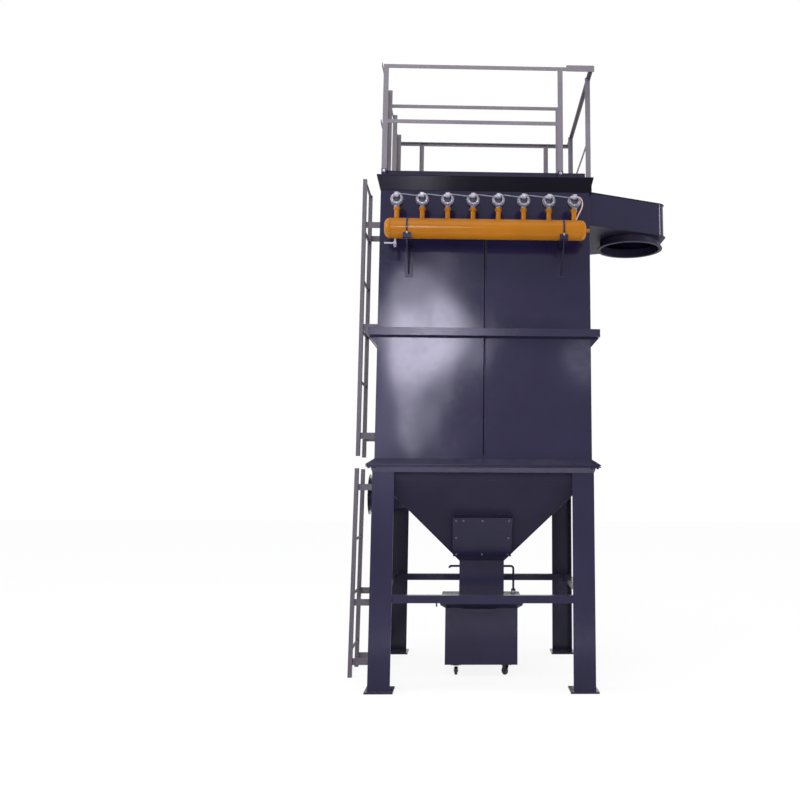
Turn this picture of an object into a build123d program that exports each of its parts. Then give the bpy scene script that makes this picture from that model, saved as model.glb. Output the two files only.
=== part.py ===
from build123d import *
import math
import os

os.makedirs("parts", exist_ok=True)

# Baghouse dust collector on four legs, with a rolling dust bin.
# Millimetres. +Z up, +X to the outlet side, +Y to the rear. The pulse valves face -Y.
# The origin is on the ground, at the centre of the four base plates.

# Casing
body_width = 1600.0
body_depth = 1600.0
sheet = 4.0
casing_bottom = 1598.0
girdle_bottom = 2556.0
girdle_size = 58.0
girdle_reach = 62.0
girdle_wall = 5.0
gusset_height = 70.0
gusset_thickness = 6.0
casing_top = 3800.0
seam_width = 24.0
seam_height = 3.0
seam_end = 12.0

# Legs
leg_spacing_x = 1460.0
leg_spacing_y = 1490.0
leg_section = 160.0
leg_wall = 8.0
leg_top = 1548.0
base_plate_size = 204.0
base_plate_thickness = 12.0
anchor_radius = 9.0
anchor_inward = 82.0
anchor_outward = 8.0

# Beams that tie the legs
tie_bottom = 618.0
tie_size = 55.0
tie_wall = 4.0
ring_beam_height = 38.0
ring_beam_slope = 14.0
ring_beam_wall = 5.0

# Hopper and discharge chute
hopper_reach = 766.0
hopper_knee = 1490.0
hopper_bottom = 868.0
chute_width = 352.0
flange_thickness = 8.0
flange_reach = 58.0
drip_height = 42.0
ring_beam_clearance = 4.0

# Access opening on the hopper's front wall
access_width = 452.0
access_length = 420.0
access_rise = 42.0
access_frame_wall = 6.0
access_plate = 6.0
access_centre = 0.36
access_margin = 18.0

# Inlet duct on the hopper's left side
inlet_radius = 141.0
inlet_drop = 115.0
inlet_y = 410.0
inlet_face = 962.0
duct_wall = 4.0
duct_flange_reach = 30.0
duct_flange_thickness = 8.0
duct_bolt_count = 8
duct_bolt_radius = 6.0

# Bin cover, its lifting lever and its clamp handle
cover_reach = 320.0
cover_bottom = 546.0
cover_height = 26.0
cover_sheet = 4.0
chute_clearance = 0.3
lever_arm_x = 271.0
lever_tip_x = -262.0
lever_y = 236.0
lever_pivot_height = 20.0
lever_rise = 196.0
lever_radius = 9.0
lever_bend = 22.0
lever_tip_drop = 16.0
ear_thickness = 6.0
ear_width = 56.0
ear_height = 34.0
pin_radius = 6.0
pin_clearance = 0.08
pin_gap = 1.5
pin_end = 3.0
clamp_pin_radius = 3.0
clamp_pin_out = 12.0
clamp_lug_reach = 22.0
clamp_radius = 6.0
clamp_hub_radius = 8.0
clamp_step = 26.0
clamp_fall = 12.0
clamp_drop = 60.0
clamp_bend = 10.0

# Dust bin on casters
bin_width = 560.0
bin_floor = 90.0
bin_top = 540.0
bin_sheet = 3.0
bin_rim_height = 26.0
bin_rim_reach = 38.0
handle_width = 250.0
handle_reach = 26.0
handle_bar = 5.0
handle_height = 26.0
handle_centre_x = -12.0
handle_centre_z = 498.0

# Casters
caster_offset_x = 194.0
caster_offset_y = 205.0
caster_turns = [0.0, 38.0, -24.0, 12.0]
caster_plate_size = 88.0
caster_plate_thickness = 5.0
wheel_radius = 31.0
wheel_width = 24.0
axle_radius = 5.0
axle_clearance = 0.08
fork_wall = 3.0
fork_gap = 2.0
fork_trail = 14.0
fork_half_length = 17.0
fork_eye = 10.0
tread_bevel = 5.0
swivel_head_radius = 24.0
swivel_head_height = 9.0
swivel_pin_radius = 6.0
swivel_gap = 1.0

# Roof
eaves_reach = 30.0
eaves_bottom = 3690.0
eaves_lip = 6.0
eaves_right_packing = 18.0
roof_inset = 28.0
roof_height = 54.0
roof_sheet = 4.0

# Compressed air tank and pulse valves
tank_radius = 76.0
tank_wall = 5.0
tank_half_length = 744.0
tank_dome = 44.0
tank_y = -1000.0
tank_z = 3329.0
inlet_stub_radius = 14.0
inlet_stub_bore = 9.0
inlet_stub_length = 26.0
valve_count = 8
valve_pitch = 187.5
valve_z = 3546.0
valve_radius = 49.0
valve_length = 58.0
valve_bevel = 7.0
valve_ring_radius = 42.0
valve_recess_radius = 27.0
valve_ring_length = 12.0
valve_port_radius = 22.0
nipple_radius = 18.0
nipple_bore = 12.0
nipple_nut_radius = 24.0
nipple_nut_height = 22.0
blow_pipe_radius = 17.0
blow_pipe_wall = 3.0
blow_pipe_end = 110.0
coil_size = 30.0
coil_length = 34.0
coil_rise = 22.0
lead_radius = 4.0
lead_dip = 10.0
lead_bend = 120.0
bracket_half_span = 575.0
bracket_width = 60.0
bracket_plate = 8.0
bracket_drop = 235.0
saddle_height = 44.0
strap_width = 14.0
strap_thickness = 5.0

# Drain cock under the tank
drain_x = -662.0
drain_radius = 10.0
drain_length = 70.0
drain_body_radius = 15.0
drain_lever_length = 80.0
drain_lever_width = 12.0
drain_lever_thickness = 4.0

# Outlet hood on the right side
hood_y = -35.0
hood_wall_half_depth = 483.0
hood_end_x = 1508.0
hood_corner_radius = 80.0
hood_bottom = 3518.0
hood_top = 3798.0
hood_taper = 23.0
hood_lip = 14.0
hood_eaves_gap = 4.0
collar_x = 1243.0
collar_radius = 250.0
collar_bottom = 3450.0
collar_flange_reach = 25.0

# Ladder on the left side: the lower length leans out at its foot
ladder_x = -985.0
ladder_knee_x = -990.0
ladder_foot_x = -1003.0
ladder_width = 450.0
ladder_centre_y = -75.0
stringer_x = 31.0
stringer_y = 40.0
rung_radius = 11.0
rung_pitch = 415.0
first_rung = 203.0
ladder_split = 1585.0
ladder_upper_start = 1681.0
ladder_top = 3950.0
standoff_height = 50.0
standoff_thickness = 6.0
standoff_pad = 10.0
standoff_pad_margin = 20.0
casing_standoffs = [1841.0, 2716.0, 3566.0]
braced_standoff = 2716.0
hopper_standoff_height = 1438.0
front_leg_ties = [115.0, 557.0]
rear_leg_ties = [86.0, 600.0]
leg_tie_overlap = 60.0

# Railings on the roof, of angle bar
rail_reach = 820.0
rail_left = -812.0
rail_right = 838.0
front_post_x = -797.0
railing_height = 914.0
front_railing_drop = 14.0
rail_mid_rise = 450.0
rail_size = 40.0
rail_leaf = 5.0
top_rail_height = 30.0
mid_rail_height = 30.0
rear_post_left = -608.0
rear_post_right = 622.0
side_post_y = 620.0
opening_front_y = -320.0
opening_rear_y = 170.0
gate_post_x = 577.0
gate_bar_start = 628.0
gate_bar_end = 846.0
gate_bar_rise = 4.0
gate_bar_height = 50.0
crossbar_y = -50.0
crossbar_end_x = 655.0
lug_height = 46.0
lug_thickness = 6.0

half_width = body_width / 2
half_depth = body_depth / 2
leg_x = leg_spacing_x / 2
leg_y = leg_spacing_y / 2
leg_outer_x = leg_x + leg_section / 2
leg_outer_y = leg_y + leg_section / 2
chute_half = chute_width / 2
bin_half = bin_width / 2
inlet_height = hopper_knee - inlet_drop
rail_top = casing_top + railing_height
front_rail_top = rail_top - front_railing_drop
rail_mid = casing_top + rail_mid_rise
gate_bar_top = rail_top + gate_bar_rise
corners = [(-1, -1), (1, -1), (-1, 1), (1, 1)]


def block(x0, x1, y0, y1, z0, z1):
    """A box between two corners."""
    low = (min(x0, x1), min(y0, y1), min(z0, z1))
    size = (abs(x1 - x0), abs(y1 - y0), abs(z1 - z0))
    return Pos(*low) * Box(*size, align=(Align.MIN, Align.MIN, Align.MIN))


def frame(outer_x, outer_y, inner_x, inner_y, z0, z1):
    """A rectangular ring, given by its half sizes."""
    outer = block(-outer_x, outer_x, -outer_y, outer_y, z0, z1)
    return outer - block(-inner_x, inner_x, -inner_y, inner_y, z0, z1)


def rod(start, end, radius):
    """A round bar between two points."""
    way = Vector(*end) - Vector(*start)
    return extrude(Plane(origin=start, z_dir=way) * Circle(radius), way.length)


def tube(start, end, radius, bore):
    """A round tube between two points."""
    return rod(start, end, radius) - rod(start, end, bore)


def bent_rod(points, radius, bend):
    """A round bar bent along straight runs; bend is one radius, or one for each corner."""
    path = FilletPolyline(*points, radius=bend)
    section = Plane(origin=path @ 0, z_dir=path % 0) * Circle(radius)
    return sweep(section, path=path)


def prism_x(points, x0, x1):
    """An outline of (y, z) points extruded along X."""
    face = make_face(Polyline(*[(x0, y, z) for y, z in points], close=True))
    return extrude(face, x1 - x0, dir=(1, 0, 0))


def prism_y(points, y0, y1):
    """An outline of (x, z) points extruded along Y."""
    face = make_face(Polyline(*[(x, y0, z) for x, z in points], close=True))
    return extrude(face, y1 - y0, dir=(0, 1, 0))


def prism_z(points, z0, z1):
    """An outline of (x, y) points extruded along Z."""
    face = make_face(Polyline(*[(x, y, z0) for x, y in points], close=True))
    return extrude(face, z1 - z0, dir=(0, 0, 1))


def taper(x0, y0, z0, x1, y1, z1):
    """A solid with flat sides that runs from one rectangle to another, given by half sizes."""
    far_x = max(x0, x1)
    far_y = max(y0, y1)
    across = prism_y([(-x0, z0), (x0, z0), (x1, z1), (-x1, z1)], -far_y, far_y)
    along = prism_x([(-y0, z0), (y0, z0), (y1, z1), (-y1, z1)], -far_x, far_x)
    return across & along


def save(name, *pieces):
    """Write one or more separate solids as one sub-part."""
    solids = []
    for piece in pieces:
        solids.extend(piece.solids())
    shape = solids[0] if len(solids) == 1 else Compound(children=solids)
    export_step(shape, os.path.join("parts", name + ".step"))


# Legs with their base plates

def leg(side_x, side_y):
    """A folded angle with its corner outward, so the hopper's corner nests inside it."""
    x = side_x * leg_x
    y = side_y * leg_y
    half = leg_section / 2
    outer_x = x + side_x * half
    outer_y = y + side_y * half
    post = block(x - side_x * half, outer_x, outer_y, outer_y - side_y * leg_wall,
                 base_plate_thickness, leg_top)
    post += block(outer_x, outer_x - side_x * leg_wall, y - side_y * half, outer_y,
                  base_plate_thickness, leg_top)
    plate_half = base_plate_size / 2
    plate = block(x - plate_half, x + plate_half, y - plate_half, y + plate_half,
                  0, base_plate_thickness)
    for reach_x, reach_y in [(-anchor_inward, anchor_outward), (anchor_outward, -anchor_inward)]:
        hole_x = x + side_x * reach_x
        hole_y = y + side_y * reach_y
        plate -= rod((hole_x, hole_y, 0), (hole_x, hole_y, base_plate_thickness), anchor_radius)
    return post + plate


def legs():
    return [leg(*corner) for corner in corners]


# Tie beams between the legs, and the ring beam that the hopper's flange rests on

def tie_beam_x(side_y):
    end = leg_outer_x - leg_wall
    half = tie_size / 2
    y = side_y * (leg_outer_y - leg_wall - half)
    inner = half - tie_wall
    middle = tie_bottom + half
    beam = block(-end, end, y - half, y + half, tie_bottom, tie_bottom + tie_size)
    return beam - block(-end, end, y - inner, y + inner, middle - inner, middle + inner)


def tie_beam_y(side_x):
    end = leg_outer_y - leg_wall - tie_size
    half = tie_size / 2
    x = side_x * (leg_outer_x - leg_wall - half)
    inner = half - tie_wall
    middle = tie_bottom + half
    beam = block(x - half, x + half, -end, end, tie_bottom, tie_bottom + tie_size)
    return beam - block(x - inner, x + inner, -end, end, middle - inner, middle + inner)


def ring_beam():
    """A channel all round the legs' tops, open to the hopper."""
    top = leg_top + ring_beam_height
    wall = ring_beam_wall
    low_x = leg_outer_x
    low_y = leg_outer_y
    outer = taper(low_x, low_y, leg_top, low_x + ring_beam_slope, low_y + ring_beam_slope, top)
    hollow = taper(low_x - wall, low_y - wall, leg_top + wall,
                   low_x + ring_beam_slope - 2 * wall, low_y + ring_beam_slope - 2 * wall, top - wall)
    inner = hopper_reach + ring_beam_clearance
    return outer - hollow - block(-inner, inner, -inner, inner, leg_top, top)


# Hopper walls: a short skirt that bends into the slope

def hopper_solid(inset):
    top = leg_top + ring_beam_height
    skirt = block(-hopper_reach + inset, hopper_reach - inset,
                  -hopper_reach + inset, hopper_reach - inset, hopper_knee, top)
    slope = taper(chute_half - inset, chute_half - inset, hopper_bottom,
                  hopper_reach - inset, hopper_reach - inset, hopper_knee)
    return skirt + slope


def hopper_shell():
    return hopper_solid(0) - hopper_solid(sheet)


def front_and_rear_wedge():
    """The space in front of and behind the two diagonals of the plan."""
    far = 2 * half_width
    top = casing_top
    front = prism_z([(0, 0), (-far, -far), (far, -far)], 0, top)
    rear = prism_z([(0, 0), (-far, far), (far, far)], 0, top)
    return front, rear


def side_wedges():
    far = 2 * half_width
    top = casing_top
    left = prism_z([(0, 0), (-far, -far), (-far, far)], 0, top)
    right = prism_z([(0, 0), (far, -far), (far, far)], 0, top)
    return left, right


def hopper_front_rear_walls():
    shell = hopper_shell()
    front, rear = front_and_rear_wedge()
    opening = access_block(access_width / 2 - access_margin * 2,
                           access_length / 2 - access_margin * 2, -60, 60)
    return [(shell & front) - opening, shell & rear]


def hopper_side_walls():
    shell = hopper_shell()
    left, right = side_wedges()
    passage = rod((-inlet_face, inlet_y, inlet_height), (0, inlet_y, inlet_height),
                  inlet_radius - duct_wall)
    return [(shell & left) - passage, shell & right]


def hopper_flange():
    z0 = leg_top + ring_beam_height
    outer_x = half_width + flange_reach
    inner = hopper_reach - sheet
    return frame(outer_x, outer_x, inner, inner, z0, z0 + flange_thickness)


# Access opening: a raised frame on the sloping wall, with a bolted cover plate

def slope_plane():
    """The plane of the hopper's front wall, with X across and Y up the slope."""
    run = hopper_reach - chute_half
    rise = hopper_knee - hopper_bottom
    centre_y = -(chute_half + run * access_centre)
    centre_z = hopper_bottom + rise * access_centre
    up_slope = Vector(0, -run, rise).normalized()
    outward = Vector(1, 0, 0).cross(up_slope)
    return Plane(origin=(0, centre_y, centre_z), x_dir=(1, 0, 0), z_dir=outward)


def access_block(half_x, half_y, low, high):
    plane = slope_plane()
    return plane.offset(low) * extrude(Rectangle(2 * half_x, 2 * half_y), high - low)


def access_frame():
    outer = access_block(access_width / 2 - 5, access_length / 2 - 5, 0, access_rise)
    inner = access_block(access_width / 2 - 5 - access_frame_wall,
                         access_length / 2 - 5 - access_frame_wall, 0, access_rise)
    lip = access_block(access_width / 2 - 5, access_length / 2 - 5,
                       access_rise - access_frame_wall, access_rise)
    lip -= access_block(access_width / 2 - access_margin * 2, access_length / 2 - access_margin * 2,
                        access_rise - access_frame_wall, access_rise)
    return (outer - inner) + lip


def access_cover():
    return access_block(access_width / 2, access_length / 2,
                        access_rise, access_rise + access_plate)


# Inlet duct

def bolt_ring(count, ring_radius, hole_radius, plane, depth):
    holes = []
    for index in range(count):
        angle = 2 * math.pi * (index + 0.5) / count
        place = plane * Pos(ring_radius * math.cos(angle), ring_radius * math.sin(angle), -depth)
        holes.append(place * extrude(Circle(hole_radius), 2 * depth))
    return holes


def inlet_duct():
    start = (-inlet_face, inlet_y, inlet_height)
    inside = (-half_width * 0.4, inlet_y, inlet_height)
    pipe = tube(start, inside, inlet_radius, inlet_radius - duct_wall)
    pipe -= hopper_solid(0)
    pipe = min(pipe.solids(), key=lambda solid: solid.center().X)
    ring = tube(start, (-inlet_face + duct_flange_thickness, inlet_y, inlet_height),
                inlet_radius + duct_flange_reach, inlet_radius - duct_wall)
    face = Plane(origin=start, x_dir=(0, 1, 0), z_dir=(-1, 0, 0))
    for hole in bolt_ring(duct_bolt_count, inlet_radius + duct_flange_reach / 2 + 1,
                          duct_bolt_radius, face, 2 * duct_flange_thickness):
        ring -= hole
    return pipe + ring


# Discharge chute and bin cover

def discharge_chute():
    return frame(chute_half, chute_half, chute_half - sheet, chute_half - sheet,
                 cover_bottom, hopper_bottom)


def bin_cover():
    top = cover_bottom + cover_height
    inner = cover_reach - cover_sheet
    tray = frame(cover_reach, cover_reach, inner, inner, cover_bottom, top)
    tray += frame(inner, inner, chute_half + chute_clearance, chute_half + chute_clearance,
                  top - cover_sheet, top)
    return tray


def lever_ear(side):
    """One of the two ears on the cover that hold the lifting lever's pin."""
    x0 = lever_arm_x + side * (lever_radius + pin_gap)
    x1 = x0 + side * ear_thickness
    top = cover_bottom + cover_height
    tip = ear_width / 5
    outline = [(lever_y - ear_width / 2, top), (lever_y + ear_width / 2, top),
               (lever_y + tip, top + ear_height), (lever_y - tip, top + ear_height)]
    plate = prism_x(outline, min(x0, x1), max(x0, x1))
    z = top + lever_pivot_height
    return plate - rod((x0 - side, lever_y, z), (x1 + side, lever_y, z), pin_radius + pin_clearance)


def clamp_ears():
    """Two small lugs on the cover's left rim that hold the clamp handle's pin."""
    x0 = -cover_reach
    z = cover_bottom + cover_height / 2
    pin_x = x0 - clamp_pin_out
    lugs = []
    for end in (-1, 1):
        y0 = end * (clamp_radius + pin_gap)
        lug = block(x0, x0 - clamp_lug_reach, y0, y0 + end * ear_thickness,
                    cover_bottom, cover_bottom + cover_height)
        lug -= rod((pin_x, y0 - end, z), (pin_x, y0 + end * (ear_thickness + 1), z),
                   clamp_pin_radius + pin_clearance)
        lugs.append(lug)
    return lugs


def lifting_lever():
    """A bent bar: an arm up from its pin, then a level grip behind the chute."""
    z0 = cover_bottom + cover_height + lever_pivot_height
    z1 = z0 + lever_rise
    points = [(lever_arm_x, lever_y, z0), (lever_arm_x, lever_y, z1),
              (lever_tip_x, lever_y, z1), (lever_tip_x, lever_y, z1 - lever_tip_drop)]
    lever = bent_rod(points, lever_radius, [lever_bend, lever_tip_drop * 0.7])
    lever += Pos(lever_arm_x, lever_y, z0) * Sphere(lever_radius)
    reach = lever_radius + pin_gap + ear_thickness + pin_end
    return lever + rod((lever_arm_x - reach, lever_y, z0), (lever_arm_x + reach, lever_y, z0), pin_radius)


def clamp_handle():
    """A bent round bar that hangs from its pin on the cover's left edge."""
    x = -(cover_reach + clamp_pin_out)
    z = cover_bottom + cover_height / 2
    knee_x = x - clamp_step
    knee_z = z - clamp_fall
    bar = bent_rod([(x, 0, z), (knee_x, 0, knee_z), (knee_x, 0, knee_z - clamp_drop)],
                   clamp_radius, clamp_bend)
    bar += rod((x, -clamp_radius, z), (x, clamp_radius, z), clamp_hub_radius)
    reach = clamp_radius + pin_gap + ear_thickness
    return bar + rod((x, -reach, z), (x, reach, z), clamp_pin_radius)


# Dust bin

def dust_bin():
    neck = bin_top - bin_rim_height
    mouth = bin_half + bin_rim_reach
    outer = block(-bin_half, bin_half, -bin_half, bin_half, bin_floor, neck)
    outer += taper(bin_half, bin_half, neck, mouth, mouth, bin_top)
    inner = block(-bin_half + bin_sheet, bin_half - bin_sheet, -bin_half + bin_sheet, bin_half - bin_sheet,
                  bin_floor + bin_sheet, neck)
    inner += taper(bin_half - bin_sheet, bin_half - bin_sheet, neck,
                   mouth - bin_sheet, mouth - bin_sheet, bin_top)
    return (outer - inner) + bin_handle()


def bin_handle():
    """A flat bar bent to a channel and welded to the bin's front."""
    y0 = -bin_half - handle_reach
    x0 = handle_centre_x - handle_width / 2
    x1 = handle_centre_x + handle_width / 2
    z0 = handle_centre_z - handle_height / 2
    z1 = z0 + handle_height
    bar = block(x0, x1, y0, -bin_half, z0, z1)
    return bar - block(x0 + handle_bar, x1 - handle_bar, y0 + handle_bar, -bin_half, z0, z1)


def caster_places():
    return [(x * caster_offset_x, y * caster_offset_y) for x, y in corners]


def caster_plates():
    plates = []
    half = caster_plate_size / 2
    for x, y in caster_places():
        plate = block(x - half, x + half, y - half, y + half, bin_floor - caster_plate_thickness, bin_floor)
        drop = bin_floor - caster_plate_thickness
        plate += rod((x, y, drop), (x, y, drop - swivel_gap - swivel_head_height / 2), swivel_pin_radius)
        plates.append(plate)
    return plates


def caster_fork():
    """A swivel head with two cheeks that hold the wheel's axle, about its own pin."""
    top = bin_floor - caster_plate_thickness - swivel_gap
    low = top - swivel_head_height
    head = rod((0, 0, low), (0, 0, top), swivel_head_radius)
    inner = wheel_width / 2 + fork_gap
    eye = wheel_radius - fork_eye
    for side in (-1, 1):
        x0 = side * inner
        x1 = x0 + side * fork_wall
        head += prism_x([(-fork_half_length, top), (fork_trail + fork_eye, top),
                         (fork_trail + fork_eye, eye), (fork_trail - fork_eye, eye)],
                        min(x0, x1), max(x0, x1))
    head -= rod((0, 0, low), (0, 0, top), swivel_pin_radius + axle_clearance)
    reach = inner + fork_wall
    head -= rod((-reach, fork_trail, wheel_radius), (reach, fork_trail, wheel_radius),
                axle_radius + axle_clearance)
    return head


def caster_wheel():
    """A wheel with a bevelled tread, turned in one piece with its axle."""
    half = wheel_width / 2
    reach = half + fork_gap + fork_wall
    tread = rod((-half, fork_trail, wheel_radius), (half, fork_trail, wheel_radius), wheel_radius)
    tread = chamfer(tread.edges().filter_by(GeomType.CIRCLE), tread_bevel)
    return tread + rod((-reach, fork_trail, wheel_radius), (reach, fork_trail, wheel_radius), axle_radius)


# Casing walls, flanges and the girdle at mid height

def wall_panel(z0, z1):
    """A front or rear wall in the X and Z directions, at the front face."""
    wall = block(-half_width, half_width, -half_depth, -half_depth + sheet, z0, z1)
    low = casing_bottom + flange_thickness + drip_height + seam_end
    seam = block(-seam_width / 2, seam_width / 2, -half_depth - seam_height, -half_depth,
                 low, girdle_bottom - seam_end)
    return wall + seam


def lower_front_rear_walls():
    front = wall_panel(casing_bottom, girdle_bottom + girdle_size / 2)
    return [front, Rot(0, 0, 180) * front]


def lower_side_walls():
    wall = block(-half_width, -half_width + sheet, -half_depth + sheet, half_depth - sheet,
                 casing_bottom, girdle_bottom + girdle_size / 2)
    return [wall, Rot(0, 0, 180) * wall]


def upper_front_rear_walls():
    front = block(-half_width, half_width, -half_depth, -half_depth + sheet,
                  girdle_bottom + girdle_size / 2, casing_top)
    front += block(-seam_width / 2, seam_width / 2, -half_depth - seam_height, -half_depth,
                   girdle_bottom + girdle_size + seam_end, tank_z)
    rear = Rot(0, 0, 180) * front
    for x in valve_places():
        z = valve_z
        front -= rod((x, -half_depth - 10, z), (x, -half_depth + 10, z), blow_pipe_radius + 0.3)
    return [front, rear]


def upper_side_walls():
    z0 = girdle_bottom + girdle_size / 2
    left = block(-half_width, -half_width + sheet, -half_depth + sheet, half_depth - sheet,
                 z0, casing_top)
    right = block(half_width - sheet, half_width, -half_depth + sheet, half_depth - sheet,
                  z0, casing_top)
    y = hood_half_depth(half_width) - sheet * 2
    right -= block(half_width - 2 * sheet, half_width + sheet, hood_y - y, hood_y + y,
                   hood_bottom + sheet, hood_top - sheet)
    return [left, right]


def casing_flange():
    """The flange under the casing, with a sloping drip edge over it."""
    z0 = casing_bottom
    reach = half_width + flange_reach
    top = z0 + flange_thickness + drip_height
    edge = taper(reach, reach, z0 + flange_thickness, half_width, half_depth, top)
    edge -= taper(reach - 2 * sheet, reach - 2 * sheet, z0 + flange_thickness,
                  half_width - sheet, half_depth - sheet, top - sheet)
    plate = block(-reach, reach, -reach, reach, z0, z0 + flange_thickness)
    return (plate + edge) - block(-half_width, half_width, -half_depth, half_depth, z0, top)


def flange_gasket():
    z0 = leg_top + ring_beam_height + flange_thickness
    reach = half_width + flange_reach - 8
    inner = hopper_reach
    return frame(reach, reach, inner, inner, z0, casing_bottom)


def girdle():
    """A folded channel all round the casing, open to the walls."""
    outer_x = half_width + girdle_reach
    outer_y = half_depth + girdle_reach
    top = girdle_bottom + girdle_size
    hollow = frame(outer_x - girdle_wall, outer_y - girdle_wall, half_width, half_depth,
                   girdle_bottom + girdle_wall, top - girdle_wall)
    channel = frame(outer_x, outer_y, half_width, half_depth, girdle_bottom, top) - hollow
    for gusset in girdle_gussets():
        channel += gusset
    return channel


def girdle_gussets():
    """Triangular plates under the girdle, at the ends and middle of both side walls."""
    plates = []
    half = gusset_thickness / 2
    y = half_depth - 2 * gusset_thickness
    for side in (-1, 1):
        x0 = side * half_width
        x1 = x0 + side * girdle_reach
        outline = [(x0, girdle_bottom), (x1, girdle_bottom), (x0, girdle_bottom - gusset_height)]
        for place in (-y, 0, y):
            plates.append(prism_y(outline, place - half, place + half))
    return plates


# Roof

def eaves():
    """A flared band under the roof's edge, with a flat lip, open where the hood joins."""
    lip_x = half_width + eaves_reach
    lip_y = half_depth + eaves_reach
    band = taper(half_width + sheet, half_depth + sheet, eaves_bottom, lip_x, lip_y, casing_top - eaves_lip)
    band += block(-lip_x, lip_x, -lip_y, lip_y, casing_top - eaves_lip, casing_top)
    band -= taper(half_width, half_depth, eaves_bottom, lip_x - sheet, lip_y - sheet,
                  casing_top - eaves_lip)
    band += block(half_width + sheet, half_width + eaves_right_packing,
                  -half_depth - sheet, half_depth + sheet, eaves_bottom, casing_top - eaves_lip)
    band -= block(-half_width, half_width, -half_depth, half_depth, eaves_bottom, casing_top)
    y = hood_half_depth(half_width) + hood_lip + hood_eaves_gap
    band -= block(half_width, lip_x + 1, hood_y - y, hood_y + y, eaves_bottom, casing_top)
    return band


def roof_pan():
    """A shallow folded tray that closes the casing."""
    x = half_width - roof_inset
    y = half_depth - roof_inset
    top = casing_top + roof_height
    pan = block(-x, x, -y, y, casing_top, top)
    inner_x = x - roof_sheet
    inner_y = y - roof_sheet
    pan -= block(-inner_x, inner_x, -inner_y, inner_y, casing_top, top - roof_sheet)
    rim_x = half_width + eaves_reach
    rim_y = half_depth + eaves_reach
    pan += frame(rim_x, rim_y, inner_x, inner_y, casing_top, casing_top + roof_sheet)
    for lug in post_lugs():
        pan += lug
    return pan


def post_lugs():
    """Upright tabs on the roof's rim, outside the feet of the posts; the right side has none."""
    z0 = casing_top
    z1 = casing_top + roof_sheet + lug_height
    near = rail_reach
    far = rail_reach + lug_thickness
    lugs = [block(front_post_x, front_post_x + rail_size, -far, -near, z0, z1),
            block(gate_post_x - rail_size / 2, gate_post_x + rail_size / 2, -far, -near, z0, z1),
            block(rear_post_left, rear_post_left + rail_size, near, far, z0, z1),
            block(rear_post_right, rear_post_right - rail_size, near, far, z0, z1)]
    for y, turn in ((opening_front_y, -1), (opening_rear_y, 1), (side_post_y, -1)):
        lugs.append(block(rail_left - lug_thickness, rail_left, y, y + turn * rail_size, z0, z1))
    return lugs


# Air tank, brackets and valves

def valve_places():
    first = -valve_pitch * (valve_count - 1) / 2
    return [first + index * valve_pitch for index in range(valve_count)]


def tank_solid(inset):
    """A cylinder with dished ends, drawn in by inset on every side."""
    end = tank_half_length - inset
    barrel = rod((-end, tank_y, tank_z), (end, tank_y, tank_z), tank_radius - inset)
    return fillet(barrel.edges().filter_by(GeomType.CIRCLE), tank_dome - inset / 2)


def air_tank():
    tank = tank_solid(0) - tank_solid(tank_wall)
    tip = tank_half_length + inlet_stub_length
    stub = rod((tank_half_length - 12, tank_y, tank_z), (tip, tank_y, tank_z), inlet_stub_radius)
    tank += stub - tank_solid(tank_wall)
    tank -= rod((tank_half_length - 40, tank_y, tank_z), (tip + 1, tank_y, tank_z), inlet_stub_bore)
    for x in valve_places():
        tank -= rod((x, tank_y, tank_z), (x, tank_y, tank_z + tank_radius + 5), nipple_bore)
    return tank


def nipple_top():
    return valve_z - valve_radius - 8


def valve_nipples():
    nipples = []
    for x in valve_places():
        low = (x, tank_y, tank_z)
        high = (x, tank_y, nipple_top())
        pipe = rod(low, high, nipple_radius)
        nut_low = nipple_top() - nipple_nut_height
        nut = Pos(x, tank_y, nut_low) * extrude(RegularPolygon(nipple_nut_radius, 6), nipple_nut_height)
        pipe = (pipe + nut) - tank_solid(0)
        pipe = max(pipe.solids(), key=lambda solid: solid.volume)
        nipples.append(pipe - rod(low, high, nipple_bore))
    return nipples


def pulse_valve(x):
    """A right-angle diaphragm valve: round body, a lid with a raised ring and a port below."""
    front = tank_y - valve_length / 2
    back = tank_y + valve_length / 2
    body = rod((x, front, valve_z), (x, back, valve_z), valve_radius)
    body = chamfer(body.edges().filter_by(GeomType.CIRCLE), valve_bevel)
    body += tube((x, front - valve_ring_length, valve_z), (x, front, valve_z),
                 valve_ring_radius, valve_recess_radius)
    return body + rod((x, tank_y, nipple_top()), (x, tank_y, valve_z), valve_port_radius)


def solenoid_coil(x):
    front = tank_y - valve_length / 2 - valve_ring_length
    half = coil_size / 2
    z = valve_z + coil_rise
    coil = block(x - half, x + half, front - coil_length, front, z - half, z + half)
    coil = fillet(coil.edges().filter_by(Axis.Y), 5)
    return coil


def coil_lead(x):
    """A lead from the coil at x to the next one, which it enters a little lower."""
    y = tank_y - valve_length / 2 - valve_ring_length - coil_length / 2
    high = valve_z + coil_rise + lead_dip / 2
    low = high - lead_dip
    start = x + coil_size / 2
    reach = valve_pitch - coil_size
    points = [(start, y, high), (start + reach / 4, y, high),
              (start + reach * 3 / 4, y, low), (start + reach, y, low)]
    return bent_rod(points, lead_radius, lead_bend)


def blow_pipes():
    pipes = []
    back = tank_y + valve_length / 2
    for x in valve_places():
        pipes.append(tube((x, back, valve_z), (x, half_depth - blow_pipe_end, valve_z),
                          blow_pipe_radius, blow_pipe_radius - blow_pipe_wall))
    return pipes


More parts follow.
